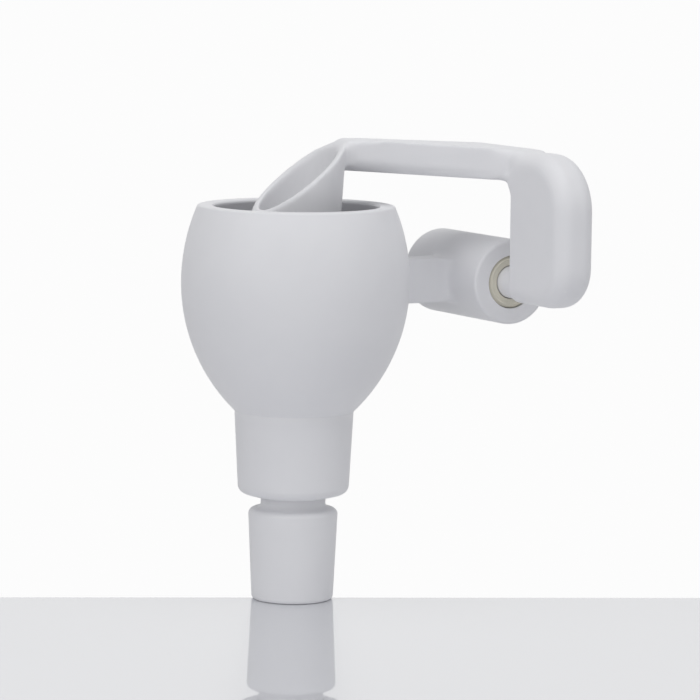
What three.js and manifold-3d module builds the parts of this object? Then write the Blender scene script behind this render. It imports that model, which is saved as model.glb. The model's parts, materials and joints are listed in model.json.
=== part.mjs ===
// Tilting-spout funnel cup on a male taper joint.
// Millimetres, +Z up. The origin is the centre of the taper joint's bottom face. The cup's axis
// is Z, the hinge barrel lies to +X of the cup along Y, and the arm hangs on its -Y end.
import * as THREE from 'three';
import { mergeVertices } from 'three/addons/utils/BufferGeometryUtils.js';
import Module from 'manifold-3d';

const wasm = await Module();
wasm.setup();

// Fits
const GAP = 0.3;                  // between pieces that sit on or in each other
const RUNNING = 0.25;             // radial play of the shaft in its bushes

// Drain, straight down through everything on the cup's axis
const DRAIN_R = 7.5;

// Taper joint: 29.2 mm large end, about 1 in 10 on the diameter, with a waisted neck above
const CONE = { bottomR: 13.4, topR: 14.6, footRound: 1.4, shoulderZ: 30, shoulderRound: 1.9 };
const NECK = { r: 10.6, fillet: 1.8 };
const SPIGOT_TOP = 51;

// Collar under the bowl
const COLLAR = { bottomZ: 33.8, topZ: 62.1, footR: 18.2, topR: 19.45, footRound: 3, footRise: 1 };
const SOCKET_TOP = 54;            // end of the socket that takes the joint's spigot
const SEAL = { r: 9.2, thick: 1.15 };

// Bowl: two arcs that meet upright at its widest level
const BOWL = { maxR: 37.2, maxZ: 104.1, rimZ: 129.2, wall: 5, lowerArc: 58.6, upperArc: 63.2 };
const BOWL_SPIGOT = { r: 12, bottomZ: 56 };
const FLOOR_EDGE_Z = 74;          // where the inner wall turns into the sloping floor
const SEAT = { r: 12.3, innerR: 8, bottomZ: 65.3, topZ: 68 };

// Pivot: barrel along Y on a flat-topped boss
const PIVOT = { x: 68.4, z: 103.7 };
const BARREL = { r: 14, frontY: -22.7, rearY: 24.3, round: 1 };
const BOSS = { bottomZ: 95.9, topZ: 110.7, depth: 9, flare: 6 };
const BUSH = { r: 8.5, length: 12, chamfer: 0.6 };
const SHAFT_R = 5.3;
const SHAFT_TAIL_R = 4.3;         // the shaft steps down for the rear bush
const MID_BORE_R = 7;

// Arm: upright slab in front of the barrel, wedge-shaped plate over the cup
const SLAB = { x: 61.1, thick: 14, backY: -33.1, frontY: -64.4, bottomZ: 97.9, edge: 5.5 };
const SLAB_CORNER = { top: 18.5, bottom: 13.5 };
const PLATE = { thick: 10.5, topZ: 148.1, rise: 0.056, edge: 1.6 };
const PLATE_REAR_Y = { atSlab: 9.4, atSpout: 3 };
const ARM_FILLET = 6;

// Spout: tapered tube on the cup's axis, cut obliquely at the mouth
const SPOUT = { topR: 15.45, topZ: 140.5, taper: 0.06, wall: 2.8, shoulderZ: 75, noseR: 9.6, noseZ: 68.3 };
const MOUTH = { centreZ: 137.2, slope: 0.79, turnDeg: -5.8, reach: 60 };

// Rear retention
const WASHER = { r: 9.5, innerR: 3.1, thick: 1.6 };
const SCREW = { headR: 5.5, headHeight: 3, shankR: 2.4, length: 14, socketR: 1.8, socketDepth: 1.6 };

const ROUND = 56;                 // facets round a turned piece
const SMALL_ROUND = 40;

const whitePlastic = () => new THREE.MeshStandardMaterial({ color: 0xd6d6da, roughness: 0.5, metalness: 0 });
const beigeBush = () => new THREE.MeshStandardMaterial({ color: 0xb8b5a2, roughness: 0.45, metalness: 0 });
const softSeal = () => new THREE.MeshStandardMaterial({ color: 0xe6e4dc, roughness: 0.7, metalness: 0 });
const steel = () => new THREE.MeshStandardMaterial({ color: 0xb9bcc0, roughness: 0.35, metalness: 1 });

// Solids: closed geometry in and out of the join-and-cut library
function solidOf(geometry) {
  const bare = geometry.clone();
  bare.deleteAttribute('normal');
  bare.deleteAttribute('uv');
  const merged = mergeVertices(bare, 1e-4);
  return new wasm.Manifold(new wasm.Mesh({
    numProp: 3,
    vertProperties: Float32Array.from(merged.attributes.position.array),
    triVerts: Uint32Array.from(merged.index.array),
  }));
}

function geometryOf(solid) {
  const mesh = solid.getMesh();
  const geometry = new THREE.BufferGeometry();
  geometry.setAttribute('position', new THREE.BufferAttribute(mesh.vertProperties, 3));
  geometry.setIndex(new THREE.BufferAttribute(mesh.triVerts, 1));
  geometry.computeVertexNormals();
  return geometry;
}

function named(name, geometry, material) {
  const mesh = new THREE.Mesh(geometry, material);
  mesh.name = name;
  return mesh;
}

// Profile helpers, in the (radius, height) plane
function arc(centreR, centreZ, radius, fromDeg, toDeg, steps) {
  const points = [];
  for (let i = 0; i <= steps; i += 1) {
    const angle = THREE.MathUtils.degToRad(fromDeg + (toDeg - fromDeg) * i / steps);
    points.push([centreR + radius * Math.cos(angle), centreZ + radius * Math.sin(angle)]);
  }
  return points;
}

// A turned ring or solid about Z. The outline runs up the outside and down the inside.
function turned(outline, facets = ROUND) {
  const onAxis = outline[0][0] === 0;
  const closed = onAxis ? outline : [...outline, outline[0]];
  const points = closed.map(([r, z]) => new THREE.Vector2(r, z));
  return new THREE.LatheGeometry(points, facets).rotateX(Math.PI / 2);
}

// The same, laid along Y through the pivot: the outline's height is -Y, towards the slab
function turnedOnPivot(outline, facets = SMALL_ROUND) {
  return turned(outline, facets).rotateX(Math.PI / 2).translate(PIVOT.x, 0, PIVOT.z);
}

function cylinderOnPivot(radius, fromY, toY, facets = SMALL_ROUND) {
  return turnedOnPivot([[0, -toY], [radius, -toY], [radius, -fromY], [0, -fromY]], facets);
}

function box(x0, x1, y0, y1, z0, z1) {
  const geometry = new THREE.BoxGeometry(x1 - x0, y1 - y0, z1 - z0);
  return geometry.translate((x0 + x1) / 2, (y0 + y1) / 2, (z0 + z1) / 2);
}

// Bowl's radius at a height, on the outer skin or a distance outside it
function arcDegrees(height, radius) {
  return THREE.MathUtils.radToDeg(Math.asin((height - BOWL.maxZ) / radius));
}

function bowlSide(offset, fromZ, toZ, steps) {
  const radius = (fromZ < BOWL.maxZ ? BOWL.lowerArc : BOWL.upperArc) + offset;
  const centreR = BOWL.maxR + offset - radius;
  return arc(centreR, BOWL.maxZ, radius, arcDegrees(fromZ, radius), arcDegrees(toZ, radius), steps);
}

function funnelBowl() {
  const bottomZ = COLLAR.topZ + GAP;
  const pocketR = SEAT.r + GAP;
  return turned([
    [DRAIN_R, BOWL_SPIGOT.bottomZ],
    [BOWL_SPIGOT.r, BOWL_SPIGOT.bottomZ],
    [BOWL_SPIGOT.r, bottomZ],
    ...bowlSide(0, bottomZ, BOWL.maxZ, 12),
    ...bowlSide(0, BOWL.maxZ + 0.01, BOWL.rimZ, 7),
    ...bowlSide(-BOWL.wall, BOWL.rimZ, BOWL.maxZ + 0.01, 6),
    ...bowlSide(-BOWL.wall, BOWL.maxZ - 0.01, FLOOR_EDGE_Z, 7),
    [pocketR, SEAT.topZ],
    [pocketR, SEAT.bottomZ - GAP],
    [DRAIN_R, SEAT.bottomZ - GAP],
  ]);
}

function outletSeat() {
  return turned([
    [SEAT.innerR, SEAT.bottomZ],
    [SEAT.r, SEAT.bottomZ],
    [SEAT.r, SEAT.topZ],
    [SEAT.innerR, SEAT.topZ],
  ], SMALL_ROUND);
}

function outletCollar() {
  const foot = arc(COLLAR.footR - COLLAR.footRound, COLLAR.bottomZ + COLLAR.footRise + COLLAR.footRound,
    COLLAR.footRound, -75, 0, 4);
  const recessZ = BOWL_SPIGOT.bottomZ - GAP;
  const recessR = BOWL_SPIGOT.r + GAP;
  return turned([
    [NECK.r + GAP, COLLAR.bottomZ],
    ...foot,
    [COLLAR.topR, COLLAR.topZ],
    [recessR, COLLAR.topZ],
    [recessR, recessZ],
    [DRAIN_R, recessZ],
    [DRAIN_R, SOCKET_TOP],
    [NECK.r + GAP, SOCKET_TOP],
  ]);
}

function jointCone() {
  const { bottomR, topR, footRound, shoulderZ, shoulderRound } = CONE;
  return turned([
    [DRAIN_R, 0],
    ...arc(bottomR - footRound, footRound, footRound, -90, 0, 3),
    ...arc(topR - shoulderRound, shoulderZ - shoulderRound, shoulderRound, 0, 75, 3),
    ...arc(NECK.r + NECK.fillet, shoulderZ + NECK.fillet, NECK.fillet, 270, 180, 3),
    [NECK.r, SPIGOT_TOP],
    [DRAIN_R, SPIGOT_TOP],
  ]);
}

function jointSeal() {
  const centreZ = (SPIGOT_TOP + SOCKET_TOP) / 2;
  return new THREE.TorusGeometry(SEAL.r, SEAL.thick, 10, SMALL_ROUND).translate(0, 0, centreZ);
}

// The boss in plan, flared where it meets the barrel, from inside the bowl's skin
function boss() {
  const half = BOSS.depth / 2;
  const wallX = PIVOT.x - BARREL.r + 2;
  const shape = new THREE.Shape();
  shape.moveTo(BOWL.maxR - 4, -half);
  shape.lineTo(wallX - BOSS.flare, -half);
  shape.absarc(wallX - BOSS.flare, -half - BOSS.flare, BOSS.flare, Math.PI / 2, 0, true);
  shape.lineTo(PIVOT.x, -half - BOSS.flare);
  shape.lineTo(PIVOT.x, half + BOSS.flare);
  shape.lineTo(wallX, half + BOSS.flare);
  shape.absarc(wallX - BOSS.flare, half + BOSS.flare, BOSS.flare, 0, -Math.PI / 2, true);
  shape.lineTo(BOWL.maxR - 4, half);
  const height = BOSS.topZ - BOSS.bottomZ;
  const geometry = new THREE.ExtrudeGeometry(shape, { depth: height, bevelEnabled: false, curveSegments: 4 });
  return solidOf(geometry.translate(0, 0, BOSS.bottomZ));
}

// Boss and barrel, cut to the bowl's side and bored for the bushes and the shaft
function pivotBracket() {
  const { r, frontY, rearY, round } = BARREL;
  const barrel = solidOf(turnedOnPivot([
    [0, -rearY],
    ...arc(r - round, -rearY + round, round, -90, 0, 4),
    ...arc(r - round, -frontY - round, round, 0, 90, 4),
    [0, -frontY],
  ], ROUND));
  const lowZ = BOSS.bottomZ - 4;
  const highZ = BOSS.topZ + 4;
  const bowlSkin = solidOf(turned([
    [0, lowZ],
    ...bowlSide(GAP, lowZ, BOWL.maxZ, 6),
    ...bowlSide(GAP, BOWL.maxZ + 0.01, highZ, 6),
    [0, highZ],
  ], ROUND * 2));
  const pocket = (fromY, toY) => solidOf(cylinderOnPivot(BUSH.r + RUNNING, fromY, toY));
  return geometryOf(barrel.add(boss())
    .subtract(bowlSkin)
    .subtract(solidOf(cylinderOnPivot(MID_BORE_R, frontY, rearY)))
    .subtract(pocket(frontY - 1, frontY + BUSH.length + GAP))
    .subtract(pocket(rearY - BUSH.length - GAP, rearY + 1)));
}

// Bushes, each with its chamfered face outwards
function frontBush() {
  const outer = -BARREL.frontY;
  const boreR = SHAFT_R + RUNNING;
  return turnedOnPivot([
    [boreR, outer - BUSH.length],
    [BUSH.r, outer - BUSH.length],
    [BUSH.r, outer - BUSH.chamfer],
    [BUSH.r - BUSH.chamfer, outer],
    [boreR, outer],
  ]);
}

function rearBush() {
  const outer = -BARREL.rearY;
  const boreR = SHAFT_TAIL_R + RUNNING;
  return turnedOnPivot([
    [boreR, outer],
    [BUSH.r - BUSH.chamfer, outer],
    [BUSH.r, outer + BUSH.chamfer],
    [BUSH.r, outer + BUSH.length],
    [boreR, outer + BUSH.length],
  ]);
}

// A shape drawn in the Y-Z plane stands up with its extrusion along +X
function standAlongX(geometry, x) {
  const turn = new THREE.Matrix4().makeBasis(
    new THREE.Vector3(0, 1, 0), new THREE.Vector3(0, 0, 1), new THREE.Vector3(1, 0, 0));
  return geometry.applyMatrix4(turn).translate(x, 0, 0);
}

function plateTopZ(x) {
  return PLATE.topZ + PLATE.rise * (SLAB.x - x);
}

// Takes geometry made level, with the plate's top at z 0, to the plate's height and slope
function slopedLikePlate(geometry) {
  return geometry.applyMatrix4(new THREE.Matrix4().set(
    1, 0, 0, 0,
    0, 1, 0, 0,
    -PLATE.rise, 0, 1, plateTopZ(0),
    0, 0, 0, 1));
}

// Upright slab: big rounded front corners, edges rounded over, and a crisp back face
function slab() {
  const { backY, frontY, bottomZ, x, thick, edge } = SLAB;
  const { top, bottom } = SLAB_CORNER;
  const topZ = plateTopZ(x + thick / 2);
  const shape = new THREE.Shape();
  shape.moveTo(backY + edge, bottomZ);
  shape.lineTo(backY + edge, topZ);
  shape.absarc(frontY + top, topZ - top, top, Math.PI / 2, Math.PI);
  shape.absarc(frontY + bottom, bottomZ + bottom, bottom, Math.PI, 1.5 * Math.PI);
  const geometry = new THREE.ExtrudeGeometry(shape, {
    depth: thick - 2 * edge, bevelSize: edge, bevelThickness: edge, bevelOffset: -edge,
    bevelSegments: 4, curveSegments: 6,
  });
  const behind = box(x - 1, x + thick + 1, backY, backY + 20, bottomZ - 1, topZ + 1);
  return solidOf(standAlongX(geometry, x + edge)).subtract(solidOf(behind));
}

// Wedge in plan from the slab to the spout, made level and then sheared to its slope
function plate() {
  const { thick, edge } = PLATE;
  const slabEndX = SLAB.x + SLAB.thick;
  const shape = new THREE.Shape();
  shape.moveTo(SLAB.x + 1, SLAB.backY - 6);
  shape.lineTo(slabEndX, SLAB.backY - 6);
  shape.lineTo(slabEndX, PLATE_REAR_Y.atSlab);
  shape.lineTo(SPOUT.topR * 0.9, PLATE_REAR_Y.atSpout);
  shape.lineTo(0, 0);
  shape.lineTo(SPOUT.topR * 0.88, -SPOUT.topR * 0.46);
  shape.lineTo(SLAB.x + 1, SLAB.backY + 2);
  const geometry = new THREE.ExtrudeGeometry(shape, {
    depth: thick - 2 * edge, bevelSize: edge, bevelThickness: edge, bevelOffset: -edge,
    bevelSegments: 2,
  });
  return solidOf(slopedLikePlate(geometry.translate(0, 0, edge - thick)));
}

// Concave strip between the slab's back and the plate's underside, sheared like the plate
function armFillet() {
  const y = SLAB.backY;
  const z = -PLATE.thick;
  const r = ARM_FILLET;
  const shape = new THREE.Shape();
  shape.moveTo(y - 2, z + 2);
  shape.lineTo(y - 2, z - r);
  shape.lineTo(y, z - r);
  shape.absarc(y + r, z - r, r, Math.PI, Math.PI / 2, true);
  shape.lineTo(y + r, z + 2);
  const strip = new THREE.ExtrudeGeometry(shape, {
    depth: SLAB.thick, bevelEnabled: false, curveSegments: 5,
  });
  return solidOf(slopedLikePlate(standAlongX(strip, SLAB.x)));
}

// Stub shaft with a step that bears on the rear bush's inner end, and a threaded tail hole
function shaft() {
  const stepY = BARREL.rearY - BUSH.length - GAP;
  const endY = BARREL.rearY - GAP;
  const main = solidOf(cylinderOnPivot(SHAFT_R, SLAB.backY - 4, stepY));
  const tail = solidOf(cylinderOnPivot(SHAFT_TAIL_R, stepY - 1, endY));
  const hole = solidOf(cylinderOnPivot(SCREW.shankR + GAP, endY - SCREW.length - 1, endY + 1, 24));
  return main.add(tail).subtract(hole);
}

// Everything inside the spout's outer skin, grown by an offset
function spoutSkin(offset) {
  const radiusAt = (z) => SPOUT.topR + SPOUT.taper * (z - SPOUT.topZ) + offset;
  const topZ = PLATE.topZ + 10;
  return turned([
    [0, SPOUT.noseZ - offset],
    [SPOUT.noseR + offset, SPOUT.noseZ - offset],
    [radiusAt(SPOUT.shoulderZ), SPOUT.shoulderZ],
    [radiusAt(topZ), topZ],
    [0, topZ],
  ]);
}

// Half-space above the mouth's oblique plane, over the spout and the plate's end
function aboveMouth() {
  const { reach } = MOUTH;
  const slopeAngle = Math.atan(MOUTH.slope);
  const block = box(-reach, reach, -reach, reach, 0, reach);
  return block.rotateY(-slopeAngle)
    .rotateZ(THREE.MathUtils.degToRad(MOUTH.turnDeg))
    .translate(0, 0, MOUTH.centreZ);
}

function swingArm() {
  return geometryOf(slab().add(plate()).add(armFillet()).add(shaft())
    .subtract(solidOf(spoutSkin(GAP)))
    .subtract(solidOf(aboveMouth()).intersect(solidOf(spoutSkin(5)))));
}

function pouringSpout() {
  const bore = solidOf(spoutSkin(-SPOUT.wall));
  const drainR = SPOUT.noseR - 2;
  const drain = solidOf(turned([
    [0, SPOUT.noseZ - 5],
    [drainR, SPOUT.noseZ - 5],
    [drainR, SPOUT.shoulderZ],
    [0, SPOUT.shoulderZ],
  ]));
  return geometryOf(solidOf(spoutSkin(0)).subtract(bore).subtract(drain).subtract(solidOf(aboveMouth())));
}

function thrustWasher() {
  const innerFace = -(BARREL.rearY + GAP);
  return turnedOnPivot([
    [WASHER.innerR, innerFace - WASHER.thick],
    [WASHER.r, innerFace - WASHER.thick],
    [WASHER.r, innerFace],
    [WASHER.innerR, innerFace],
  ]);
}

function retainingScrew() {
  const headFrom = BARREL.rearY + WASHER.thick + 2 * GAP;
  const head = solidOf(cylinderOnPivot(SCREW.headR, headFrom, headFrom + SCREW.headHeight, 32));
  const shank = solidOf(cylinderOnPivot(SCREW.shankR, BARREL.rearY - GAP - SCREW.length, headFrom + 1, 24));
  const top = headFrom + SCREW.headHeight;
  const socket = solidOf(cylinderOnPivot(SCREW.socketR, top - SCREW.socketDepth, top + 1, 6));
  return geometryOf(head.add(shank).subtract(socket));
}

const model = new THREE.Group();
model.add(
  named('funnel_bowl', funnelBowl(), whitePlastic()),
  named('outlet_collar', outletCollar(), whitePlastic()),
  named('joint_cone', jointCone(), whitePlastic()),
  named('joint_seal', jointSeal(), softSeal()),
  named('outlet_seat', outletSeat(), softSeal()),
  named('pivot_bracket', pivotBracket(), whitePlastic()),
  named('front_bush', frontBush(), beigeBush()),
  named('rear_bush', rearBush(), beigeBush()),
  named('swing_arm', swingArm(), whitePlastic()),
  named('pouring_spout', pouringSpout(), whitePlastic()),
  named('thrust_washer', thrustWasher(), beigeBush()),
  named('retaining_screw', retainingScrew(), steel()),
);

export default model;
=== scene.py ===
import sys
import json
import logging
import math
from dataclasses import dataclass
from enum import Enum
from typing import Callable, Optional, Sequence, Union

import bpy
from mathutils import Matrix, Vector


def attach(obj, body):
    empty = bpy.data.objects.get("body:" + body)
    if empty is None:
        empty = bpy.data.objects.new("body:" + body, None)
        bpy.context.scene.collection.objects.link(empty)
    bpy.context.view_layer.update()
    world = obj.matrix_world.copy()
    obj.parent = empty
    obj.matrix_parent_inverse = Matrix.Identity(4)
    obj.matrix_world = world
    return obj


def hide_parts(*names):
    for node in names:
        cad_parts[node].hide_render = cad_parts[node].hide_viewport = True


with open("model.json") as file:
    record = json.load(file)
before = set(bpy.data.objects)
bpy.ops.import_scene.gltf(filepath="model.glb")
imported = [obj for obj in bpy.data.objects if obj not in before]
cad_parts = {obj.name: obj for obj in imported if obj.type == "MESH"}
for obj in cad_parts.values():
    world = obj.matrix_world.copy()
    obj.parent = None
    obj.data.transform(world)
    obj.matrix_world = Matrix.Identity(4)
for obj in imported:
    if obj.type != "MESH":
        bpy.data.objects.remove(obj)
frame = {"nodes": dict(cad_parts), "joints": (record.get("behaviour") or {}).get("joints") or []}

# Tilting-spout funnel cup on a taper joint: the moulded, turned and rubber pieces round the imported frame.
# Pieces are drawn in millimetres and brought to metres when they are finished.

LOG = logging.getLogger("funnel_cup")
TO_METRES = 0.001

Point = tuple[float, float]
Colour = tuple[float, float, float]


class Body(Enum):
    """Bodies of the frame that a piece can ride on."""

    CUP = "cup"
    ARM = "arm"


class Slot(Enum):
    """Material slots of the record."""

    WHITE_PLASTIC = "white_plastic"
    BUSH_PLASTIC = "bush_plastic"
    SEAL_RUBBER = "seal_rubber"
    SCREW_STEEL = "screw_steel"


class Keep(Enum):
    """Side of a cutting plane that stays."""

    ABOVE = "above"
    BELOW = "below"


# ---------------------------------------------------------------- shader tools


class Value:
    """A number socket that takes part in arithmetic; every operation adds a Math node."""

    def __init__(self, shader: "Shader", socket: bpy.types.NodeSocket) -> None:
        """Wraps a socket of the shader's tree."""
        self.shader = shader
        self.socket = socket

    def __add__(self, other: "Operand") -> "Value":
        """Sum of two values."""
        return self.shader.math("ADD", self, other)

    def __radd__(self, other: "Operand") -> "Value":
        """Sum with a plain number first."""
        return self.shader.math("ADD", other, self)

    def __sub__(self, other: "Operand") -> "Value":
        """Difference of two values."""
        return self.shader.math("SUBTRACT", self, other)

    def __rsub__(self, other: "Operand") -> "Value":
        """Difference with a plain number first."""
        return self.shader.math("SUBTRACT", other, self)

    def __mul__(self, other: "Operand") -> "Value":
        """Product of two values."""
        return self.shader.math("MULTIPLY", self, other)

    def __rmul__(self, other: "Operand") -> "Value":
        """Product with a plain number first."""
        return self.shader.math("MULTIPLY", other, self)

    def wave(self) -> "Value":
        """Sine of the value."""
        return self.shader.math("SINE", self)

    def between(self, low: float, high: float) -> "Value":
        """Rises smoothly from 0 at low to 1 at high.

        Args:
            low: The value that gives 0.
            high: The value that gives 1.

        Returns:
            The smooth step between them.
        """
        return self.shader.number("ShaderNodeMapRange", "Result", {"interpolation_type": "SMOOTHSTEP"},
                                  {"Value": self, "From Min": low, "From Max": high})


Operand = Union[Value, float]


class Shader:
    """Node tree of one material."""

    def __init__(self, name: str) -> None:
        """Starts an empty material.

        Args:
            name: The material's name.
        """
        self.material = bpy.data.materials.new(name)
        self.material.use_nodes = True
        self.tree = self.material.node_tree
        self.tree.nodes.clear()

    def node(self, kind: str, settings: Optional[dict] = None,
             inputs: Optional[dict] = None) -> bpy.types.Node:
        """Adds a node, applies its settings, then fills or links its sockets.

        Args:
            kind: The node's type.
            settings: Properties of the node, such as a Math node's operation.
            inputs: Socket names or numbers, with a plain value, a Value or a socket for each.

        Returns:
            The new node.
        """
        made = self.tree.nodes.new(kind)
        for key, setting in (settings or {}).items():
            setattr(made, key, setting)
        for key, given in (inputs or {}).items():
            source = given.socket if isinstance(given, Value) else given
            if isinstance(source, bpy.types.NodeSocket):
                self.tree.links.new(source, made.inputs[key])
            else:
                made.inputs[key].default_value = source
        return made

    def number(self, kind: str, output: str, settings: Optional[dict] = None,
               inputs: Optional[dict] = None) -> Value:
        """Adds a node and wraps one of its number outputs.

        Args:
            kind: The node's type.
            output: Name of the output socket.
            settings: Properties of the node.
            inputs: Values or links of its sockets.

        Returns:
            The output as a value.
        """
        return Value(self, self.node(kind, settings, inputs).outputs[output])

    def math(self, operation: str, *operands: Operand) -> Value:
        """Adds a Math node on the operands."""
        return self.number("ShaderNodeMath", "Value", {"operation": operation}, dict(enumerate(operands)))

    def place(self, centre: Vector = Vector()) -> bpy.types.NodeSocket:
        """Object coordinates measured from a point.

        Args:
            centre: The point that becomes the pattern's origin, in metres.

        Returns:
            The vector output.
        """
        coordinates = self.node("ShaderNodeTexCoord").outputs["Object"]
        shifted = self.node("ShaderNodeVectorMath", {"operation": "SUBTRACT"}, {0: coordinates, 1: centre})
        return shifted.outputs["Vector"]

    def noise(self, place: bpy.types.NodeSocket, scale: float, detail: float = 2.0) -> Value:
        """Noise from 0 to 1 over a place.

        Args:
            place: The coordinates.
            scale: Blotches per metre.
            detail: Octaves of finer noise.

        Returns:
            The noise value.
        """
        return self.number("ShaderNodeTexNoise", "Fac", {"noise_dimensions": "3D"},
                           {"Vector": place, "Scale": scale, "Detail": detail, "Roughness": 0.55})

    def blend(self, factor: Operand, first: Colour, second: Colour) -> bpy.types.NodeSocket:
        """Mixes two colours.

        Args:
            factor: 0 gives the first colour and 1 the second.
            first: A colour.
            second: A colour.

        Returns:
            The mixed colour's socket.
        """
        mix = self.node("ShaderNodeMix", {"data_type": "RGBA"}, {"Factor": factor})
        for socket, colour in ((mix.inputs[6], first), (mix.inputs[7], second)):
            if isinstance(colour, bpy.types.NodeSocket):
                self.tree.links.new(colour, socket)
            else:
                socket.default_value = (*colour, 1.0)
        return mix.outputs[2]

    def relief(self, height: Value, depth: float, strength: float = 1.0) -> bpy.types.NodeSocket:
        """Turns a height value into a bumped normal.

        Args:
            height: The height, about 0 to 1.
            depth: Depth of the relief in metres for a height of 1.
            strength: Share of the bump that shows.

        Returns:
            The normal's socket.
        """
        return self.node("ShaderNodeBump", None,
                         {"Height": height, "Distance": depth, "Strength": strength}).outputs["Normal"]

    def surface(self, **sockets: object) -> bpy.types.Material:
        """Adds the Principled surface and ends the tree.

        Args:
            **sockets: Socket names, with underscores for spaces, and their values or links.

        Returns:
            The finished material.
        """
        inputs = {name.replace("_", " "): given for name, given in sockets.items()}
        principled = self.node("ShaderNodeBsdfPrincipled", None, inputs)
        self.node("ShaderNodeOutputMaterial", None, {"Surface": principled.outputs["BSDF"]})
        return self.material


# -------------------------------------------------------------------- finishes


@dataclass(frozen=True)
class MouldedPlastic:
    """Satin white plastic with a faint cloudiness, a fine grain, and a painted highlight on its convex edges,
    which are also slightly smoother.
    """

    name: str = "satin_white_plastic"
    light: Colour = (0.862, 0.862, 0.880)
    shade: Colour = (0.848, 0.848, 0.868)
    # painted highlight colour for the convex edges
    edge_highlight: Colour = (0.885, 0.885, 0.898)
    roughness: float = 0.46
    cloud_scale: float = 42.0
    grain_scale: float = 2600.0
    grain_depth: float = 0.00002

    def material(self) -> bpy.types.Material:
        """Builds the finish as a material."""
        shader = Shader(self.name)
        place = shader.place()
        cloud = shader.noise(place, self.cloud_scale, 3.0).between(0.35, 0.65)
        handling = shader.noise(place, self.cloud_scale * 3.5, 4.0)
        grain = shader.noise(place, self.grain_scale, 3.0)
        # Pointiness picks out convex edges: they get a painted highlight in the base colour and a slightly
        # lower roughness.
        edge = shader.number("ShaderNodeNewGeometry", "Pointiness").between(0.52, 0.60)
        body = shader.blend(cloud, self.light, self.shade)
        return shader.surface(
            Base_Color=shader.blend(edge * 0.6, body, self.edge_highlight),
            Roughness=self.roughness + handling * 0.10 - edge * 0.06,
            IOR=1.49,
            Specular_IOR_Level=0.45,
            Normal=shader.relief(grain, self.grain_depth, 0.5),
        )


@dataclass(frozen=True)
class TurnedPlastic:
    """Beige plastic turned on a lathe, with fine rings about the hinge axis."""

    centre: Vector
    name: str = "turned_beige_plastic"
    light: Colour = (0.765, 0.735, 0.620)
    dark: Colour = (0.660, 0.635, 0.535)
    roughness: float = 0.42
    rings_per_metre: float = 2600.0
    ring_depth: float = 0.00003

    def material(self) -> bpy.types.Material:
        """Builds the finish as a material."""
        shader = Shader(self.name)
        place = shader.place(self.centre)
        flat = shader.node("ShaderNodeVectorMath", {"operation": "MULTIPLY"}, {0: place, 1: (1.0, 0.0, 1.0)})
        radius = shader.number("ShaderNodeVectorMath", "Value", {"operation": "LENGTH"},
                               {0: flat.outputs["Vector"]})
        rings = (radius * (self.rings_per_metre * 2 * math.pi)).wave() * 0.5 + 0.5
        streak = shader.noise(place, 260.0, 4.0)
        return shader.surface(
            Base_Color=shader.blend(streak * 0.7 + rings * 0.15, self.light, self.dark),
            Roughness=self.roughness + streak * 0.14,
            IOR=1.5,
            Normal=shader.relief(rings, self.ring_depth, 0.6),
        )


@dataclass(frozen=True)
class SealRubber:
    """Matt off-white elastomer."""

    name: str = "soft_white_seal"
    light: Colour = (0.60, 0.58, 0.52)
    dark: Colour = (0.50, 0.485, 0.43)
    roughness: float = 0.68

    def material(self) -> bpy.types.Material:
        """Builds the finish as a material."""
        shader = Shader(self.name)
        place = shader.place()
        cloud = shader.noise(place, 180.0, 4.0)
        grain = shader.noise(place, 3200.0, 2.0)
        return shader.surface(
            Base_Color=shader.blend(cloud, self.light, self.dark),
            Roughness=self.roughness + cloud * 0.12,
            Normal=shader.relief(grain, 0.00003, 0.6),
        )


@dataclass(frozen=True)
class TurnedSteel:
    """Bright steel with lathe rings about the hinge axis."""

    centre: Vector
    name: str = "turned_steel"
    light: Colour = (0.66, 0.67, 0.69)
    dark: Colour = (0.50, 0.51, 0.53)
    roughness: float = 0.26
    rings_per_metre: float = 4200.0

    def material(self) -> bpy.types.Material:
        """Builds the finish as a material."""
        shader = Shader(self.name)
        place = shader.place(self.centre)
        flat = shader.node("ShaderNodeVectorMath", {"operation": "MULTIPLY"}, {0: place, 1: (1.0, 0.0, 1.0)})
        radius = shader.number("ShaderNodeVectorMath", "Value", {"operation": "LENGTH"},
                               {0: flat.outputs["Vector"]})
        rings = (radius * (self.rings_per_metre * 2 * math.pi)).wave() * 0.5 + 0.5
        smear = shader.noise(place, 420.0, 4.0)
        return shader.surface(
            Base_Color=shader.blend(smear, self.light, self.dark),
            Metallic=1.0,
            Roughness=self.roughness + smear * 0.16,
            Normal=shader.relief(rings, 0.00002, 0.7),
        )


@dataclass(frozen=True)
class TableTop:
    """Pale polished table."""

    name: str = "pale_table"
    light: Colour = (0.680, 0.687, 0.722)
    dark: Colour = (0.660, 0.668, 0.704)
    roughness: float = 0.30

    def material(self) -> bpy.types.Material:
        """Builds the finish as a material."""
        shader = Shader(self.name)
        cloud = shader.noise(shader.place(), 9.0, 3.0)
        return shader.surface(
            Base_Color=shader.blend(cloud, self.light, self.dark),
            Roughness=self.roughness,
            Coat_Weight=1.0,
            Coat_IOR=3.2,
            Coat_Roughness=0.01,
        )


# ----------------------------------------------------------------- model tools


def fade(distance: float, near: float, far: float) -> float:
    """Falls smoothly from 1 at a near distance to 0 at a far one.

    Args:
        distance: The distance asked about.
        near: Distance up to which the result is 1.
        far: Distance from which it is 0.

    Returns:
        A share between 0 and 1.
    """
    share = min(max((far - distance) / (far - near), 0.0), 1.0)
    return share * share * (3.0 - 2.0 * share)


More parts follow.
